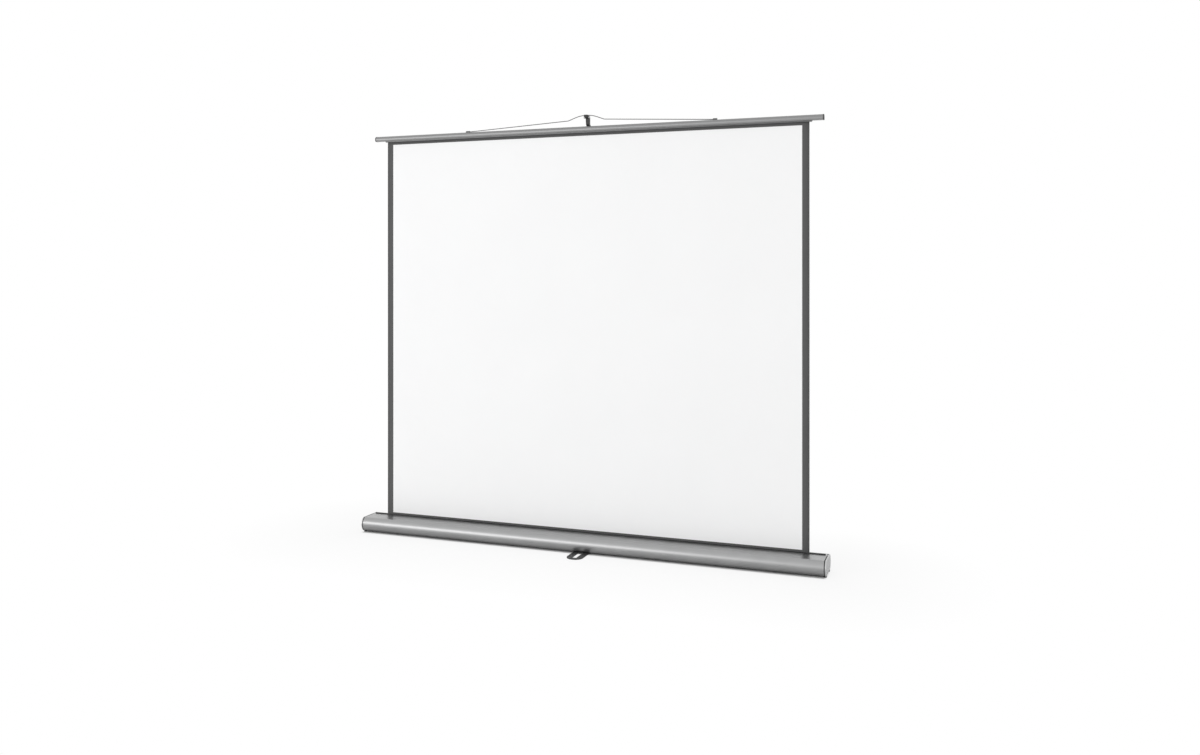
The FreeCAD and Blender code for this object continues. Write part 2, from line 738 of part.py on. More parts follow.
def build_bracket():
    """Block behind the case, its top screwed to the flat top behind the slot, with a socket for the mast."""
    half = "(lower_radius + bracket_wall)"
    width = shifted("mast_offset", (f"-{half}", half))
    flat_edge = "slot_offset + slot_gap / 2 + bracket_plate / 2"
    plate_top = "case_top + bracket_plate"
    body = block("bracket_body", width, (flat_edge, "mast_y"), ("bracket_underside", plate_top))
    nose = mast_rod("bracket_nose", half, ("bracket_underside", plate_top))
    flank = rod("bracket_flank", "flank_radius + fit_gap", width, "flank_offset", "flank_height")
    core = block("bracket_core", width, ("-far", "flank_offset"), ("0", "case_top"))
    under_top = block("bracket_under_top", width, ("-far", "far"), ("0", "case_top"))
    hollow = common("bracket_hollow", fuse("bracket_hollow_round", flank, core), under_top)
    socket = mast_rod("bracket_socket", "lower_radius + fit_gap", ("lower_foot", f"{plate_top} + case_wall"))
    holes = bracket_screw_rods("bracket_hole", "screw_radius + fit_gap")
    solid = fuse("bracket_solid", body, nose)
    node("mast_bracket", cut("mast_bracket", solid, hollow, socket, *holes))
    screws = [screw(f"bracket_screw_{index}", x, y, plate_top, "bracket_plate + 2 * case_wall", False)
              for index, (x, y) in enumerate(bracket_screw_places())]
    node("bracket_screws", group("bracket_screws", screws))


def build_clamp(word, tube_radius, inner_radius, tube_top):
    """Clamp collar at the top of a mast tube, with two ears, a pin and a flip lever."""
    ring = f"({tube_radius} + collar_wall)"
    low = f"({tube_top} - collar_grip)"
    high = f"({tube_top} - collar_grip + collar_height)"
    middle = f"({tube_top} - collar_grip + collar_height / 2)"
    hub_x = f"(mast_offset + hub_radius - {ring})"
    hub_y = f"(mast_y + {ring} + lever_gap + lever_thickness / 2)"
    ear_x = (f"{hub_x} - hub_radius - ear_rim", f"{hub_x} + hub_radius + ear_rim")
    ear_y = ("mast_y", f"{hub_y} + hub_radius + ear_rim")
    ear_near = f"({middle} - lever_height / 2 - running_gap)"
    ear_far = f"({middle} + lever_height / 2 + running_gap)"
    pin_z = (f"{ear_near} - ear_thickness - ear_rim", f"{ear_far} + ear_thickness + ear_rim")
    collar = f"{word}_clamp_collar"
    body = fuse(collar + "_body", mast_rod(collar + "_ring", ring, (low, high)),
                block(collar + "_ear_low", ear_x, ear_y, (f"{ear_near} - ear_thickness", ear_near)),
                block(collar + "_ear_high", ear_x, ear_y, (ear_far, f"{ear_far} + ear_thickness")))
    node(collar, cut(collar, body,
                     mast_rod(collar + "_grip", f"{tube_radius} + fit_gap", (low, tube_top)),
                     mast_rod(collar + "_guide", f"{inner_radius} + fit_gap", (low, high)),
                     rod(collar + "_pin_hole", "lever_pin_radius + fit_gap", hub_x, hub_y, pin_z)))
    node(f"{word}_lever_pin", rod(f"{word}_lever_pin", "lever_pin_radius", hub_x, hub_y, pin_z))
    lever = f"{word}_clamp_lever"
    lever_z = (f"{middle} - lever_height / 2", f"{middle} + lever_height / 2")
    handle = fuse(lever + "_body", rod(lever + "_hub", "hub_radius", hub_x, hub_y, lever_z),
                  block(lever + "_arm", (hub_x, f"{hub_x} + lever_length"),
                        (f"{hub_y} - lever_thickness / 2", f"{hub_y} + lever_thickness / 2"), lever_z),
                  rod(lever + "_tip", "lever_thickness / 2", f"{hub_x} + lever_length", hub_y, lever_z))
    node(lever, cut(lever, handle, rod(lever + "_bore", "lever_pin_radius + fit_gap", hub_x, hub_y, lever_z)))


def build_mast():
    """Three telescopic tubes, the bushes they slide on and the two clamps."""
    for name, radius, planes in (("mast_lower_tube", "lower_radius", ("lower_foot", "lower_top")),
                                 ("mast_mid_tube", "mid_radius", ("mid_foot", "mid_top")),
                                 ("mast_upper_tube", "upper_radius", ("upper_foot", "upper_top"))):
        node(name, mast_ring(name, radius, f"{radius} - tube_wall", planes))
    for name, outer, inner, foot in (("mid_bush", "lower_radius", "mid_radius", "mid_foot"),
                                     ("upper_bush", "mid_radius", "upper_radius", "upper_foot")):
        node(name, mast_ring(name, f"{outer} - tube_wall - fit_gap", f"{inner} + fit_gap",
                             (foot, f"{foot} + mast_bush_length")))
    build_clamp("lower", "lower_radius", "mid_radius", "lower_top")
    build_clamp("upper", "mid_radius", "upper_radius", "mid_top")


def build_hook():
    """Hook with a notch for the wire, a stem that leans back to a plug in the upper tube, and its rivet."""
    front = "slot_offset - seat_half - nub_depth"
    crown = "apex_z + nub_height"
    stem = ("stem_y - stem_depth / 2", "stem_y + stem_depth / 2")
    arm = doc.addObject("PartDesign::Body", "hook_arm")
    arm.setExpression("Placement.Base.x", bound("mast_offset"))
    sketch = outline(arm, "hook_outline", "YZ_Plane", (
        (front, crown),
        (front, "seat_z - arm_depth / 2"),
        (stem[0], "seat_z - arm_depth - nub_height"),
        (f"{stem[0]} + stem_taper", "stem_foot"),
        ("mast_y - upper_radius", "hook_foot"),
        ("mast_y + upper_radius", "hook_foot"),
        ("mast_y + upper_radius", "hook_foot + heel_height"),
        (stem[1], "stem_foot"),
        (stem[1], "seat_z - arm_depth / 2"),
        ("stem_y", f"{crown} - wire_radius"),
        ("slot_offset + seat_half", crown),
        ("slot_offset + seat_half", "seat_z"),
        ("slot_offset - seat_half", "seat_z"),
        ("slot_offset - seat_half", crown),
    ))
    pad(arm, "hook_plate", sketch, "hook_width", symmetric=True)
    doc.recompute()
    collar = mast_rod("hook_collar", "upper_radius", ("upper_top", "hook_foot"))
    plug = mast_rod("hook_plug", "upper_radius - tube_wall - fit_gap",
                    ("upper_top - plug_depth", "upper_top"))
    half = "(hook_width / 2)"
    through = shifted("mast_offset", (f"-{half}", half))
    hole = rod("hook_hole", "rivet_radius + fit_gap", through, "rivet_y", "rivet_z")
    node("mast_hook", cut("mast_hook", fuse("hook_solid", arm, collar, plug), hole))
    heads = []
    for side in SIDES:
        planes = shifted("mast_offset", mirrored(side, half, f"{half} + rivet_head_height"))
        heads.append(rod(f"rivet_head_{side + 1}", "rivet_head_radius", planes, "rivet_y", "rivet_z"))
    shank = rod("rivet_shank", "rivet_radius", through, "rivet_y", "rivet_z")
    node("hook_rivet", fuse("hook_rivet", shank, *heads))


def build_foot():
    """Flat foot with a loop at each end, turning on a bolt under the case, a little right of its middle."""
    half = "foot_width / 2"
    foot = doc.addObject("PartDesign::Body", "swivel_foot")
    foot.setExpression("Placement.Base.x", bound("foot_offset"))
    foot.setExpression("Placement.Base.z", bound("grip_thickness"))
    plan = outline(foot, "foot_plan", "XY_Plane", (
        (f"-{half}", "-foot_reach"), (half, "-foot_reach"), (half, "foot_reach"), (f"-{half}", "foot_reach")))
    plate = pad(foot, "foot_plate", plan, "foot_thickness")
    rounding(foot, "foot_corners", plate,
             lambda edge: abs(edge.Vertexes[0].Z - edge.Vertexes[-1].Z) > TOUCH, "foot_corner")
    inner = "(foot_reach - loop_bar - loop_length)"
    outer = "(foot_reach - loop_bar)"
    for word, near, far in (("front", f"-{outer}", f"-{inner}"), ("back", inner, outer)):
        gap = outline(foot, f"loop_{word}", "XY_Plane", (
            ("-loop_gap / 2", near), ("loop_gap / 2", near), ("loop_gap / 2", far), ("-loop_gap / 2", far)))
        pocket(foot, f"loop_gap_{word}", gap, "foot_thickness")
    bore = circle(foot, "pivot_circle", "XY_Plane", "bolt_radius + fit_gap")
    pocket(foot, "pivot_bore", bore, "foot_thickness")
    seat = circle(foot, "head_circle", "XY_Plane", "bolt_head_radius + running_gap")
    recess = pocket(foot, "head_recess", seat, "bolt_head_height + running_gap")
    top = value("foot_thickness")
    clear = value("washer_radius")
    rounding(foot, "foot_edges", recess,
             lambda edge: all(abs(vertex.Z - top) < TOUCH and math.hypot(vertex.X, vertex.Y) > clear
                              for vertex in edge.Vertexes), "foot_edge")
    doc.recompute()
    node("swivel_foot", foot)
    grips = [block(f"foot_grip_{side + 1}", shifted("foot_offset", ("-grip_length / 2", "grip_length / 2")),
                   mirrored(side, "foot_reach - loop_bar / 2 - grip_width / 2",
                            "foot_reach - loop_bar / 2 + grip_width / 2"), ("0", "grip_thickness"))
             for side in SIDES]
    node("foot_grips", group("foot_grips", grips))
    head_top = "(grip_thickness + bolt_head_height)"
    bolt_top = "(case_underside - running_gap)"
    head = pivot_rod("bolt_head", "bolt_head_radius", ("grip_thickness", head_top))
    shank = pivot_rod("bolt_shank", "bolt_radius", (head_top, bolt_top))
    node("foot_bolt", fuse("foot_bolt", head, shank))
    node("foot_washer", pivot_ring("foot_washer", "washer_radius", "bolt_radius + fit_gap",
                                   ("foot_top + fit_gap", "base_underside")))
    node("foot_nut", pivot_ring("foot_nut", "nut_radius", "bolt_radius + fit_gap", ("tray_floor", bolt_top)))


def check_and_write():
    """Stop on any failed object or bad shape, then write one file for each sub-part."""
    doc.recompute()
    failed = [item.Name for item in doc.Objects if "Invalid" in item.State or "Error" in item.State]
    if failed:
        raise RuntimeError(f"failed objects: {failed}")
    for item in nodes:
        if item.Shape.isNull() or not item.Shape.isValid() or not item.Shape.Solids:
            raise RuntimeError(f"bad shape: {item.Label}")
    os.makedirs("parts", exist_ok=True)
    for item in nodes:
        item.Shape.exportStep(f"parts/{item.Label}.step")
        print(f"{item.Label}: {len(item.Shape.Solids)} solid(s), {item.Shape.Volume:.0f} mm3")


build_case()
build_base()
for end in SIDES:
    build_seal(end)
    build_cap(end)
build_cap_screws()
build_pads()
build_lips()
build_spring()
build_roller()
build_fabric()
build_bar()
build_wire()
build_clips()
build_bracket()
build_mast()
build_hook()
build_foot()
check_and_write()
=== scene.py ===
import math

import bmesh
import bpy
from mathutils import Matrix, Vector, noise


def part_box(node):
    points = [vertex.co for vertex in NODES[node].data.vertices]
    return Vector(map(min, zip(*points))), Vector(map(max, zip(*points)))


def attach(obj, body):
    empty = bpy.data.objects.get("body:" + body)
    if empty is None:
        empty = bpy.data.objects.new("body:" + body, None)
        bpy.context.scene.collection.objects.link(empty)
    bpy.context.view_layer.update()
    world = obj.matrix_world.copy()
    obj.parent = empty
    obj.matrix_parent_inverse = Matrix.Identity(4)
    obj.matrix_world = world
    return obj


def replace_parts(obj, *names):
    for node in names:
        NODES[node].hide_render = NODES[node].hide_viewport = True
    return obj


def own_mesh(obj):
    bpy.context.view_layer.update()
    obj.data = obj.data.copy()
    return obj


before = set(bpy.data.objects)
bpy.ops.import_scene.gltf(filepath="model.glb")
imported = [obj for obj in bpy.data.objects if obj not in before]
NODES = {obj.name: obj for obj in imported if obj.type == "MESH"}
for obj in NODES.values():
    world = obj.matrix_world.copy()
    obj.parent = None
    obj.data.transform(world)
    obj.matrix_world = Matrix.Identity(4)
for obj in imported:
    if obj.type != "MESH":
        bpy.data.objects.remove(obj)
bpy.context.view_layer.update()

# A portable projection screen dressed on its CAD solids, in metres: finishes, cloth, small pieces, floor,
# light and camera.

WHITE = (1.0, 1.0, 1.0, 1.0)

# Drawn metal: shares of its fine lines and of its cloudy wear, and the anodised coat
LINE_SHARE = 0.65
WEAR_SHARE = 0.35
WEAR_SCALE = 14.0
METAL_SWING = 0.15
METAL_BUMP = (0.06, 0.0004)
METAL_COOLNESS = 0.004
COAT_WEIGHT = 0.35
COAT_ROUGHNESS = 0.25

# Moulded plastic and rubber
MOULD_CLOUDS = 30.0
MOULD_TONES = (0.80, 1.25)
MOULD_SWING = 0.08
MOULD_BUMP = (0.15, 0.0003)

# Felt
FELT_FIBRES = 1800.0
FELT_TONES = (0.5, 1.6)
FELT_BUMP = (0.6, 0.0006)
FELT_ROUGHNESS = 0.95
FELT_SHEEN = 0.3

# Coated cloth: thread count, shares of its cloudy tone and of its weave
THREAD_SCALE = 420.0
THREAD_DISTORTION = 1.2
CLOTH_CLOUDS = 3.0
CLOUD_SHARE = 0.7
WEAVE_SHARE = 0.3
CLOTH_TONE_ENDS = (0.2, 0.7)
CLOTH_SWING = 0.05
CLOTH_BUMP = (0.12, 0.0002)
CLOTH_COOLNESS = 0.002
CLOTH_SPECULAR = 0.3

# Stretch of the grain along x, y and z
LINES_ALONG_X = (1.2, 900.0, 900.0)
LINES_ALONG_Z = (900.0, 900.0, 1.5)
STEEL_GRAIN = (60.0, 60.0, 60.0)
RIVET_GRAIN = (90.0, 90.0, 90.0)

# Cloth: printed borders, and the soft waviness of a stretched sheet
SIDE_BORDER = 0.027
TOP_BORDER = 0.012
BOTTOM_BORDER = 0.011
CLOTH_COLUMNS = 72
CLOTH_ROWS = 64
CLOTH_THICKNESS = 0.0005
RIPPLE_DEPTH = 0.0012
RIPPLE_FADE = 0.12
RIPPLE_PER_METRE = (2.2, 0.9)

# Wound rest of the cloth
WOUND_TURNS = 7.0
WOUND_STEPS = 40
WOUND_COLUMNS = 12
WOUND_THICKNESS = 0.7 * CLOTH_THICKNESS

# Screws: sizes in shares of the head's radius or height, and how head and axis points are told apart
HEAD_SIDES = 24
HEAD_CHAMFER = 0.0004
HEAD_SHARE = 0.95
AXIS_SHARE = 0.1
TIP_SHARE = 0.8
RECESS_REACH = 0.55
RECESS_HALF = 0.17
RECESS_DEPTH = 0.6
WELD = 1e-6

# Spring coil
COIL_STEPS = 10
COIL_SIDES = 6
COIL_PITCH = 1.03
SPRING_WIRE = 0.0036

# Grip ribs of the clamp levers
RIB_COUNT = 5
RIB_SIDES = 12
RIB_RADIUS = 0.0008
RIB_PITCH = 0.0034
RIB_MARGIN = 0.002
RIB_END_SHARE = 0.5
LEVER_HUB = 0.005
LEVER_THICKNESS = 0.005

# Edges sharper than this stay sharp, in degrees
SHARP_ANGLE = 35.0
COIL_SHARP_ANGLE = 80.0

# Camera, fitted to the photograph
CAMERA_PLACE = (1.476, -3.820, 1.1107)
CAMERA_LEVEL = 90.0
CAMERA_TURN = 20.03
CAMERA_LENS = 30.84
CAMERA_SHIFT_Y = -0.0889

# Light
WORLD_LEVEL = 0.89
KEY_PLACE = (-3.0, -4.9, 1.4)
KEY_SIZE = (4.6, 1.6)
KEY_WATTS = 74.0
FILL_PLACE = (3.6, -3.4, 1.5)
FILL_SIZE = (2.4, 2.4)
FILL_WATTS = 11.0
AIM = (0.0, 0.0, 0.7)

# Floor: pale grey, seen as white away from the case, so that the shadow under the case stays
FLOOR_TONE = (0.80, 0.80, 0.80, 1.0)
FLOOR_ROUGHNESS = 0.9
FLOOR_HALF = 30.0
SHADOW_REACH = 0.012
SHADOW_SHARE = 0.82
SHADOW_FADE = 0.6
MIRROR_REACH = (0.10, 1.20)


def link_object(name, data):
    """Object of the scene that shows the data."""
    piece = bpy.data.objects.new(name, data)
    bpy.context.scene.collection.objects.link(piece)
    return piece


# Shader helpers

def new_material(name):
    """Material, its node tree and its shader."""
    material = bpy.data.materials.new(name)
    material.use_nodes = True
    tree = material.node_tree
    return material, tree, tree.nodes["Principled BSDF"]


def part_coordinates(tree, stretch=(1.0, 1.0, 1.0)):
    """Coordinates in the part's own frame, in metres, stretched along the axes."""
    source = tree.nodes.new("ShaderNodeTexCoord")
    mapping = tree.nodes.new("ShaderNodeMapping")
    mapping.inputs["Scale"].default_value = stretch
    tree.links.new(source.outputs["Object"], mapping.inputs["Vector"])
    return mapping.outputs["Vector"]


def noise_field(tree, vector, scale, detail=3.0, roughness=0.5):
    """Cloudy field between 0 and 1."""
    field = tree.nodes.new("ShaderNodeTexNoise")
    field.inputs["Scale"].default_value = scale
    field.inputs["Detail"].default_value = detail
    field.inputs["Roughness"].default_value = roughness
    tree.links.new(vector, field.inputs["Vector"])
    return field.outputs["Fac"]


def thread_field(tree, vector, direction):
    """Field of threads that follow each other in one direction."""
    threads = tree.nodes.new("ShaderNodeTexWave")
    threads.bands_direction = direction
    threads.inputs["Scale"].default_value = THREAD_SCALE
    threads.inputs["Distortion"].default_value = THREAD_DISTORTION
    threads.inputs["Detail"].default_value = 1.0
    tree.links.new(vector, threads.inputs["Vector"])
    return threads.outputs["Fac"]


def combine(tree, operation, first, second):
    """Result of a math operation on two fields or numbers."""
    node = tree.nodes.new("ShaderNodeMath")
    node.operation = operation
    for socket, source in zip(node.inputs, (first, second)):
        if isinstance(source, float):
            socket.default_value = source
        else:
            tree.links.new(source, socket)
    return node.outputs["Value"]


def weighted(tree, first, first_share, second, second_share):
    """Two fields added by their shares."""
    return combine(tree, "ADD", combine(tree, "MULTIPLY", first, first_share),
                   combine(tree, "MULTIPLY", second, second_share))


def spread(tree, factor, low, high, start=0.3, end=0.7):
    """A number from low to high as the factor goes from start to end."""
    node = tree.nodes.new("ShaderNodeMapRange")
    node.inputs["From Min"].default_value = start
    node.inputs["From Max"].default_value = end
    node.inputs["To Min"].default_value = low
    node.inputs["To Max"].default_value = high
    tree.links.new(factor, node.inputs["Value"])
    return node.outputs["Result"]


def tint(tree, factor, low, high, start=0.3, end=0.7):
    """A colour from low to high as the factor goes from start to end."""
    ramp = tree.nodes.new("ShaderNodeValToRGB")
    for element, place, colour in zip(ramp.color_ramp.elements, (start, end), (low, high)):
        element.position = place
        element.color = (*colour, 1.0)
    tree.links.new(factor, ramp.inputs["Fac"])
    return ramp.outputs["Color"]


def bump(tree, shader, height, strength, distance):
    """Fine relief of the surface from a field."""
    node = tree.nodes.new("ShaderNodeBump")
    node.inputs["Strength"].default_value = strength
    node.inputs["Distance"].default_value = distance
    tree.links.new(height, node.inputs["Height"])
    tree.links.new(node.outputs["Normal"], shader.inputs["Normal"])


def grey(level, coolness=0.0):
    """Grey colour, a little bluer with coolness."""
    return (level * (1.0 - coolness), level, level * (1.0 + coolness))


def mix_to_output(tree, factor, first, second, output):
    """Show the first shader where the factor is 0 and the second where it is 1."""
    mix = tree.nodes.new("ShaderNodeMixShader")
    tree.links.new(factor, mix.inputs["Fac"])
    tree.links.new(first, mix.inputs[1])
    tree.links.new(second, mix.inputs[2])
    tree.links.new(mix.outputs["Shader"], tree.nodes[output].inputs["Surface"])


# Finishes

def brushed_metal(name, level, contrast, rough, grain):
    """Anodised metal with fine drawn lines along one axis and faint cloudy wear."""
    material, tree, shader = new_material(name)
    lines = noise_field(tree, part_coordinates(tree, grain), scale=1.0, detail=4.0, roughness=0.6)
    clouds = noise_field(tree, part_coordinates(tree), WEAR_SCALE, detail=4.0)
    shade = weighted(tree, lines, LINE_SHARE, clouds, WEAR_SHARE)
    low = grey(level * (1.0 - contrast), METAL_COOLNESS)
    high = grey(level * (1.0 + contrast), METAL_COOLNESS)
    gloss = spread(tree, shade, rough * (1.0 - METAL_SWING), rough * (1.0 + METAL_SWING))
    tree.links.new(tint(tree, shade, low, high), shader.inputs["Base Color"])
    tree.links.new(gloss, shader.inputs["Roughness"])
    bump(tree, shader, lines, *METAL_BUMP)
    shader.inputs["Metallic"].default_value = 1.0
    shader.inputs["Coat Weight"].default_value = COAT_WEIGHT
    shader.inputs["Coat Roughness"].default_value = COAT_ROUGHNESS
    return material


def moulded_plastic(name, level, rough, grain_scale):
    """Matt moulded plastic or rubber with a fine spark-eroded grain."""
    material, tree, shader = new_material(name)
    place = part_coordinates(tree)
    grain = noise_field(tree, place, grain_scale, detail=2.0)
    clouds = noise_field(tree, place, MOULD_CLOUDS, detail=4.0)
    low, high = (grey(level * tone) for tone in MOULD_TONES)
    tree.links.new(tint(tree, clouds, low, high), shader.inputs["Base Color"])
    tree.links.new(spread(tree, grain, rough - MOULD_SWING, rough + MOULD_SWING), shader.inputs["Roughness"])
    bump(tree, shader, grain, *MOULD_BUMP)
    return material


def felt(name, level):
    """Pressed fibres with a soft sheen."""
    material, tree, shader = new_material(name)
    fibres = noise_field(tree, part_coordinates(tree), FELT_FIBRES)
    low, high = (grey(level * tone) for tone in FELT_TONES)
    tree.links.new(tint(tree, fibres, low, high), shader.inputs["Base Color"])
    bump(tree, shader, fibres, *FELT_BUMP)
    shader.inputs["Roughness"].default_value = FELT_ROUGHNESS
    shader.inputs["Sheen Weight"].default_value = FELT_SHEEN
    return material


def woven_cloth(name, level, variation, rough, sheen):
    """Coated screen cloth: a fine weave under a matt coat, with faint cloudy tone."""
    material, tree, shader = new_material(name)
    place = part_coordinates(tree)
    weave = combine(tree, "MULTIPLY", thread_field(tree, place, "X"), thread_field(tree, place, "Z"))
    clouds = noise_field(tree, place, CLOTH_CLOUDS, detail=5.0)
    shade = weighted(tree, clouds, CLOUD_SHARE, weave, WEAVE_SHARE)
    low = grey(level * (1.0 - variation), CLOTH_COOLNESS)
    high = grey(level * (1.0 + variation), CLOTH_COOLNESS)
    gloss = spread(tree, weave, rough - CLOTH_SWING, rough + CLOTH_SWING, 0.0, 1.0)
    tree.links.new(tint(tree, shade, low, high, *CLOTH_TONE_ENDS), shader.inputs["Base Color"])
    tree.links.new(gloss, shader.inputs["Roughness"])
    bump(tree, shader, weave, *CLOTH_BUMP)
    shader.inputs["Sheen Weight"].default_value = sheen
    shader.inputs["Specular IOR Level"].default_value = CLOTH_SPECULAR
    return material


FINISHES = {
    "case": brushed_metal("case_anodised", level=0.37, contrast=0.10, rough=0.40, grain=LINES_ALONG_X),
    "cap": brushed_metal("cap_anodised", level=0.54, contrast=0.06, rough=0.42, grain=LINES_ALONG_Z),
    "bar": brushed_metal("bar_anodised", level=0.28, contrast=0.10, rough=0.46, grain=LINES_ALONG_X),
    "strip": brushed_metal("strip_anodised", level=0.16, contrast=0.12, rough=0.46, grain=LINES_ALONG_X),
    "mast": brushed_metal("mast_anodised", level=0.48, contrast=0.10, rough=0.30, grain=LINES_ALONG_Z),
    "steel": brushed_metal("zinc_steel", level=0.50, contrast=0.12, rough=0.26, grain=STEEL_GRAIN),
    "wire": brushed_metal("dark_wire", level=0.09, contrast=0.12, rough=0.40, grain=LINES_ALONG_X),
    "rivet": brushed_metal("bright_rivet", level=0.43, contrast=0.08, rough=0.40, grain=RIVET_GRAIN),
    "plastic": moulded_plastic("black_moulding", level=0.018, rough=0.48, grain_scale=2600.0),
    "foot": moulded_plastic("foot_paint", level=0.035, rough=0.36, grain_scale=1900.0),
    "rubber": moulded_plastic("black_rubber", level=0.012, rough=0.75, grain_scale=1500.0),
    "nylon": moulded_plastic("natural_nylon", level=0.62, rough=0.45, grain_scale=1200.0),
    "felt": felt("black_felt", level=0.02),
    "cloth": woven_cloth("cloth_white", level=0.90, variation=0.012, rough=0.80, sheen=0.05),
    "border": woven_cloth("cloth_border", level=0.095, variation=0.06, rough=0.75, sheen=0.0),
    "backing": woven_cloth("cloth_backing", level=0.030, variation=0.10, rough=0.72, sheen=0.05),
}

DRESS = {
    "case": ["case_extrusion", "base_tray"],
    "cap": ["end_cap_left", "end_cap_right"],
    "bar": ["top_bar"],
    "strip": ["bar_strip"],
    "mast": ["mast_lower_tube", "mast_mid_tube", "mast_upper_tube", "roller_tube"],
    "steel": ["tray_screws", "end_cap_screws", "strip_screws", "bracket_screws", "spring_shaft",
              "spring_anchor", "torsion_spring", "lower_lever_pin", "upper_lever_pin", "foot_bolt",
              "foot_washer", "foot_nut"],
    "wire": ["wire_clips", "hanger_wire"],
    "rivet": ["hook_rivet"],
    "plastic": ["base_skid", "mast_bracket", "lower_clamp_collar", "upper_clamp_collar", "lower_clamp_lever",
                "upper_clamp_lever", "mast_hook", "bar_cap_left", "bar_cap_right", "roller_plug_left",
                "roller_plug_right", "roller_steady"],
    "foot": ["swivel_foot"],
    "rubber": ["floor_pads", "foot_grips", "end_seal_left", "end_seal_right"],
    "nylon": ["roller_bush", "mid_bush", "upper_bush", "fabric_welt"],
    "felt": ["slot_lips"],
    "cloth": ["fabric_roll"],
}


def dress_nodes():
    """Give every CAD node that stays its finish."""
    for finish, names in DRESS.items():
        for name in names:
            node = NODES[name]
            node.data.materials.clear()
            node.data.materials.append(FINISHES[finish])


# The cloth

def grid_lines(low, high, low_border, high_border, count):
    """Even lines from low to high, with one line on the inner edge of each border."""
    inner_low = low + low_border
    inner_high = high - high_border
    inner = [inner_low + (inner_high - inner_low) * i / count for i in range(count + 1)]
    return [low] + inner + [high]


def fade(distance):
    """0 at an edge of the cloth, 1 well inside it."""
    share = min(1.0, max(0.0, distance / RIPPLE_FADE))
    return share * share * (3.0 - 2.0 * share)


def ripple(x, z, low, high):
    """How far the sheet stands off its plane: long shallow waves that die out where it is held."""
    held = fade(z - low.z - RIPPLE_FADE) * fade(high.z - z)
    across, up = RIPPLE_PER_METRE
    wave = noise.noise(Vector((x * across, 0.0, z * up)))
    return RIPPLE_DEPTH * held * wave


def sheet_mesh(name, points, wide, finishes):
    """Smooth mesh through rows of points, each row wide points long."""
    rows = len(points) // wide
    faces = [(r * wide + c, r * wide + c + 1, (r + 1) * wide + c + 1, (r + 1) * wide + c)
             for r in range(rows - 1) for c in range(wide - 1)]
    mesh = bpy.data.meshes.new(name)
    mesh.from_pydata(points, [], faces)
    mesh.polygons.foreach_set("use_smooth", [True] * len(mesh.polygons))
    for finish in finishes:
        mesh.materials.append(FINISHES[finish])
    return mesh


def thicken(piece, thickness, back):
    """Give a sheet its thickness, with the materials that lie back places later on its far side."""
    shell = piece.modifiers.new("thickness", "SOLIDIFY")
    shell.thickness = thickness
    shell.offset = -1.0
    shell.material_offset = back


def make_cloth():
    """The hanging cloth with its printed borders, held by the roll and by the bar."""
    low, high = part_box("screen_fabric")
    slot_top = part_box("case_extrusion")[1].z
    strip_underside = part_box("bar_strip")[0].z
    bottom_edge = slot_top + BOTTOM_BORDER - low.z
    top_edge = high.z - strip_underside + TOP_BORDER
    xs = grid_lines(low.x, high.x, SIDE_BORDER, SIDE_BORDER, CLOTH_COLUMNS)
    zs = grid_lines(low.z, high.z, bottom_edge, top_edge, CLOTH_ROWS)
    points = [(x, low.y + ripple(x, z, low, high), z) for z in zs for x in xs]
    mesh = sheet_mesh("screen_cloth", points, len(xs), ("cloth", "border", "backing", "backing"))
    last_column = len(xs) - 2
    last_row = len(zs) - 2
    for index, face in enumerate(mesh.polygons):
        row, column = divmod(index, len(xs) - 1)
        face.material_index = int(column in (0, last_column) or row in (0, last_row))
    cloth = link_object("screen_cloth", mesh)
    thicken(cloth, CLOTH_THICKNESS, back=2)
    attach(cloth, "case")
    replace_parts(cloth, "screen_fabric")
    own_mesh(cloth)


def make_wound_cloth():
    """The rest of the cloth, wound on the roller in a spiral, its dark back outside."""
    low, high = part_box("fabric_roll")
    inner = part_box("roller_tube")
    centre = (low + high) / 2
    core = (inner[1].z - inner[0].z) / 2 + CLOTH_THICKNESS
    rim = (high.z - low.z) / 2
    steps = int(WOUND_TURNS * WOUND_STEPS)
    section = []
    for step in range(steps + 1):
        angle = math.tau * (step / WOUND_STEPS - WOUND_TURNS)
        radius = core + (rim - core) * step / steps
        section.append((centre.y + radius * math.cos(angle), centre.z + radius * math.sin(angle)))
    xs = [low.x + (high.x - low.x) * i / WOUND_COLUMNS for i in range(WOUND_COLUMNS + 1)]
    points = [(x, y, z) for y, z in section for x in xs]
    roll = link_object("wound_cloth", sheet_mesh("wound_cloth", points, len(xs), ("cloth", "backing")))
    thicken(roll, WOUND_THICKNESS, back=1)
    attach(roll, "roller")
    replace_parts(roll, "fabric_roll")


# Small steel and plastic pieces

def islands(name):
    """Corner points of each separate solid in a node."""
    grid = bmesh.new()
    grid.from_mesh(NODES[name].data)
    bmesh.ops.remove_doubles(grid, verts=grid.verts, dist=WELD)
    left = set(grid.verts)
    groups = []
    while left:
        front = [left.pop()]
        group = []
        while front:
            vert = front.pop()
            group.append(vert.co.copy())
            near = {edge.other_vert(vert) for edge in vert.link_edges} & left
            left -= near
            front += near
        groups.append(group)
    grid.free()
    return groups


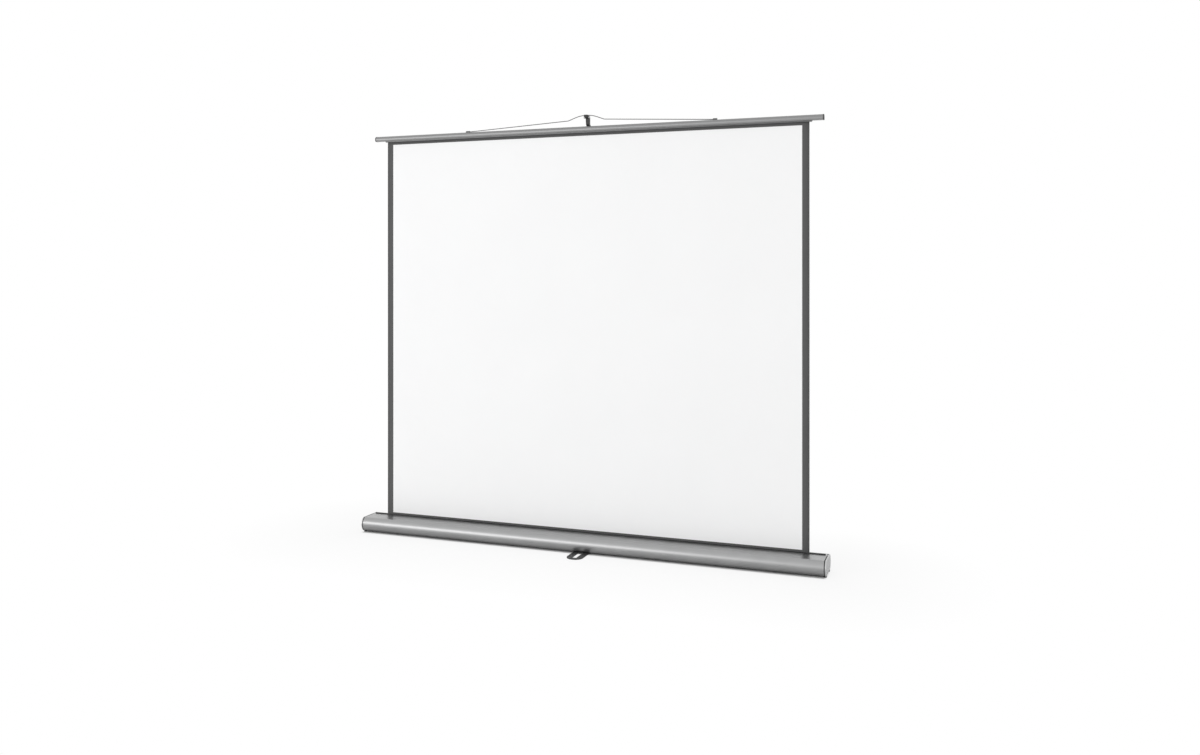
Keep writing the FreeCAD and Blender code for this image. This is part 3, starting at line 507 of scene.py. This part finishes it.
def screw_frame(points):
    """Middle of a screw's head seat, the direction out of its head, and its sizes."""
    low = Vector(min(p[i] for p in points) for i in range(3))
    high = Vector(max(p[i] for p in points) for i in range(3))
    along = max(range(3), key=lambda i: high[i] - low[i])
    middle = (low + high) / 2

    def width(p):
        return math.hypot(*(p[i] - middle[i] for i in range(3) if i != along))

    head = max(width(p) for p in points)
    wide = [p[along] for p in points if width(p) > HEAD_SHARE * head]
    shank = min(width(p) for p in points if width(p) > AXIS_SHARE * head)
    outwards = 1.0 if max(wide) > high[along] - WELD else -1.0
    axis = Vector(outwards if i == along else 0.0 for i in range(3))
    seat = middle.copy()
    seat[along] = min(wide) if outwards > 0 else max(wide)
    height = max(wide) - min(wide)
    return seat, axis, head, height, shank, high[along] - low[along] - height


def ring_of(grid, turn, seat, radius, height):
    """Ring of points round a screw's axis."""
    angles = [math.tau * i / HEAD_SIDES for i in range(HEAD_SIDES)]
    return [grid.verts.new(seat + turn @ Vector((radius * math.cos(a), radius * math.sin(a), height)))
            for a in angles]


def cross_of(grid, turn, seat, reach, half, height):
    """Outline of a cross-shaped recess."""
    corners = [(reach, -half), (reach, half), (half, half),
               (half, reach), (-half, reach), (-half, half),
               (-reach, half), (-reach, -half), (-half, -half),
               (-half, -reach), (half, -reach), (half, -half)]
    return [grid.verts.new(seat + turn @ Vector((x, y, height))) for x, y in corners]


def bridge(grid, first, second):
    """Faces between two rings with the same number of points."""
    count = len(first)
    for i in range(count):
        grid.faces.new((first[i], first[(i + 1) % count], second[(i + 1) % count], second[i]))


def loft(grid, sections):
    """Tube through sections of points, closed at both ends."""
    rings = [[grid.verts.new(point) for point in section] for section in sections]
    grid.faces.new(rings[0])
    for first, second in zip(rings, rings[1:]):
        bridge(grid, first, second)
    grid.faces.new(rings[-1])


def loop_edges(grid, loop):
    """Edges of a closed loop of points, made where they are missing."""
    return [grid.edges.get(pair) or grid.edges.new(pair) for pair in zip(loop, loop[1:] + loop[:1])]


def add_screw(grid, points):
    """Chamfered head with a cross recess on a plain shank."""
    seat, axis, head, height, shank, length = screw_frame(points)
    turn = axis.to_track_quat("Z", "Y").to_matrix()
    tip = ring_of(grid, turn, seat, shank * TIP_SHARE, -length)
    body = ring_of(grid, turn, seat, shank, -length + shank)
    neck = ring_of(grid, turn, seat, shank, 0.0)
    under = ring_of(grid, turn, seat, head, 0.0)
    side = ring_of(grid, turn, seat, head, height - HEAD_CHAMFER)
    top = ring_of(grid, turn, seat, head - HEAD_CHAMFER, height)
    grid.faces.new(tip[::-1])
    for first, second in ((tip, body), (body, neck), (neck, under), (under, side), (side, top)):
        bridge(grid, first, second)
    reach, half = head * RECESS_REACH, head * RECESS_HALF
    mouth = cross_of(grid, turn, seat, reach, half, height)
    floor = cross_of(grid, turn, seat, reach, half, height * (1.0 - RECESS_DEPTH))
    bmesh.ops.triangle_fill(grid, use_beauty=True, edges=loop_edges(grid, top) + loop_edges(grid, mouth))
    bridge(grid, mouth, floor)
    grid.faces.new(floor)


def finish_piece(name, grid, finish, body, sharp=SHARP_ANGLE):
    """Object from a mesh under construction, shaded smooth up to the sharp angle."""
    bmesh.ops.recalc_face_normals(grid, faces=grid.faces)
    mesh = bpy.data.meshes.new(name)
    grid.to_mesh(mesh)
    grid.free()
    mesh.polygons.foreach_set("use_smooth", [True] * len(mesh.polygons))
    mesh.set_sharp_from_angle(angle=math.radians(sharp))
    mesh.materials.append(FINISHES[finish])
    piece = link_object(name, mesh)
    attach(piece, body)
    return piece


def make_screws(node, body):
    """Cross-recessed screws in place of a node's plain ones."""
    grid = bmesh.new()
    for points in islands(node):
        add_screw(grid, points)
    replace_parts(finish_piece(node + "_cross", grid, "steel", body), node)


def make_spring():
    """Close-wound torsion spring on the fixed shaft."""
    low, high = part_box("torsion_spring")
    centre = (low + high) / 2
    wire = SPRING_WIRE / 2
    radius = (high.z - low.z) / 2 - wire
    run = high.x - low.x - SPRING_WIRE
    turns = run / (SPRING_WIRE * COIL_PITCH)
    steps = int(turns * COIL_STEPS)
    leans = [math.tau * side / COIL_SIDES for side in range(COIL_SIDES)]
    sections = []
    for step in range(steps + 1):
        angle = math.tau * step / COIL_STEPS
        out = Vector((0.0, math.cos(angle), math.sin(angle)))
        middle = Vector((low.x + wire + run * step / steps, centre.y, centre.z)) + out * radius
        sections.append([middle + out * (wire * math.cos(lean)) + Vector((wire * math.sin(lean), 0.0, 0.0))
                         for lean in leans])
    grid = bmesh.new()
    loft(grid, sections)
    coil = finish_piece("spring_coil", grid, "steel", "case", sharp=COIL_SHARP_ANGLE)
    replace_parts(coil, "torsion_spring")


def make_ribs(lever, body):
    """Rounded grip ribs across the outer face of a clamp lever."""
    low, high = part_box(lever)
    face = low.y + LEVER_HUB + LEVER_THICKNESS / 2
    bottom, top = low.z + RIB_MARGIN, high.z - RIB_MARGIN
    rings = ((bottom, RIB_END_SHARE * RIB_RADIUS), (bottom + RIB_RADIUS, RIB_RADIUS),
             (top - RIB_RADIUS, RIB_RADIUS), (top, RIB_END_SHARE * RIB_RADIUS))
    leans = [math.tau * side / RIB_SIDES for side in range(RIB_SIDES)]
    grid = bmesh.new()
    for index in range(RIB_COUNT):
        middle = high.x - LEVER_THICKNESS - index * RIB_PITCH
        loft(grid, [[(middle + radius * math.cos(lean), face + radius * math.sin(lean), z) for lean in leans]
                    for z, radius in rings])
    finish_piece(lever + "_ribs", grid, "plastic", body)


# Stage, light and camera

def mirrored_rays(tree, path):
    """1 for mirror and see-through rays."""
    return combine(tree, "MAXIMUM", path.outputs["Is Glossy Ray"], path.outputs["Is Transmission Ray"])


def beside_case(tree):
    """Distance of a floor point from the case's footprint."""
    low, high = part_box("base_tray")
    source = tree.nodes.new("ShaderNodeTexCoord")
    split = tree.nodes.new("ShaderNodeSeparateXYZ")
    tree.links.new(source.outputs["Object"], split.inputs["Vector"])
    away = []
    for axis, half in (("X", (high.x - low.x) / 2), ("Y", (high.y - low.y) / 2)):
        size = combine(tree, "ABSOLUTE", split.outputs[axis], 0.0)
        past = combine(tree, "MAXIMUM", combine(tree, "SUBTRACT", size, half), 0.0)
        away.append(combine(tree, "MULTIPLY", past, past))
    return combine(tree, "SQRT", combine(tree, "ADD", *away), 0.0)


def make_floor():
    """Floor that shows the shadow close to the case and turns to white away from it."""
    half = FLOOR_HALF
    mesh = bpy.data.meshes.new("floor")
    mesh.from_pydata([(-half, -half, 0.0), (half, -half, 0.0), (half, half, 0.0), (-half, half, 0.0)], [],
                     [(0, 1, 2, 3)])
    material, tree, shader = new_material("pale_floor")
    shader.inputs["Base Color"].default_value = FLOOR_TONE
    shader.inputs["Roughness"].default_value = FLOOR_ROUGHNESS
    shader.inputs["Specular IOR Level"].default_value = 0.0
    glow = tree.nodes.new("ShaderNodeEmission")
    glow.inputs["Color"].default_value = WHITE
    path = tree.nodes.new("ShaderNodeLightPath")
    away = beside_case(tree)
    rise = combine(tree, "ADD", spread(tree, away, 0.0, SHADOW_SHARE, 0.0, SHADOW_REACH),
                   spread(tree, away, 0.0, 1.0 - SHADOW_SHARE, SHADOW_REACH, SHADOW_FADE))
    seen = combine(tree, "MULTIPLY", rise, path.outputs["Is Camera Ray"])
    mirrored = combine(tree, "MULTIPLY", spread(tree, away, 0.0, 1.0, *MIRROR_REACH),
                       mirrored_rays(tree, path))
    mix_to_output(tree, combine(tree, "MAXIMUM", seen, mirrored), shader.outputs["BSDF"],
                  glow.outputs["Emission"], "Material Output")
    mesh.materials.append(material)
    link_object("floor", mesh)


def make_world():
    """Even light from all round, seen and mirrored as white."""
    world = bpy.data.worlds.new("studio")
    bpy.context.scene.world = world
    world.use_nodes = True
    tree = world.node_tree
    soft = tree.nodes["Background"]
    soft.inputs["Color"].default_value = WHITE
    soft.inputs["Strength"].default_value = WORLD_LEVEL
    white = tree.nodes.new("ShaderNodeBackground")
    white.inputs["Color"].default_value = WHITE
    white.inputs["Strength"].default_value = 1.0
    path = tree.nodes.new("ShaderNodeLightPath")
    shown = combine(tree, "MAXIMUM", path.outputs["Is Camera Ray"], mirrored_rays(tree, path))
    mix_to_output(tree, shown, soft.outputs["Background"], white.outputs["Background"], "World Output")


def make_lamp(name, place, size, watts):
    """Soft rectangular lamp that points at the aim."""
    lamp = bpy.data.lights.new(name, "AREA")
    lamp.shape = "RECTANGLE"
    lamp.size, lamp.size_y = size
    lamp.energy = watts
    holder = link_object(name, lamp)
    holder.location = place
    holder.rotation_euler = (Vector(AIM) - Vector(place)).to_track_quat("-Z", "Y").to_euler()


def make_camera():
    """Level camera at the photograph's place."""
    camera = bpy.data.cameras.new("camera")
    camera.lens = CAMERA_LENS
    camera.shift_y = CAMERA_SHIFT_Y
    holder = link_object("camera", camera)
    holder.location = CAMERA_PLACE
    holder.rotation_euler = (math.radians(CAMERA_LEVEL), 0.0, math.radians(CAMERA_TURN))
    bpy.context.scene.camera = holder


dress_nodes()
make_cloth()
make_wound_cloth()
for screws, carrier in (("tray_screws", "case"), ("end_cap_screws", "case"), ("bracket_screws", "case"),
                        ("strip_screws", "top_bar")):
    make_screws(screws, carrier)
make_spring()
make_ribs("lower_clamp_lever", "lower_lever")
make_ribs("upper_clamp_lever", "upper_lever")
make_floor()
make_world()
make_lamp("key", KEY_PLACE, KEY_SIZE, KEY_WATTS)
make_lamp("fill", FILL_PLACE, FILL_SIZE, FILL_WATTS)
make_camera()
bpy.context.scene.view_settings.view_transform = "Standard"
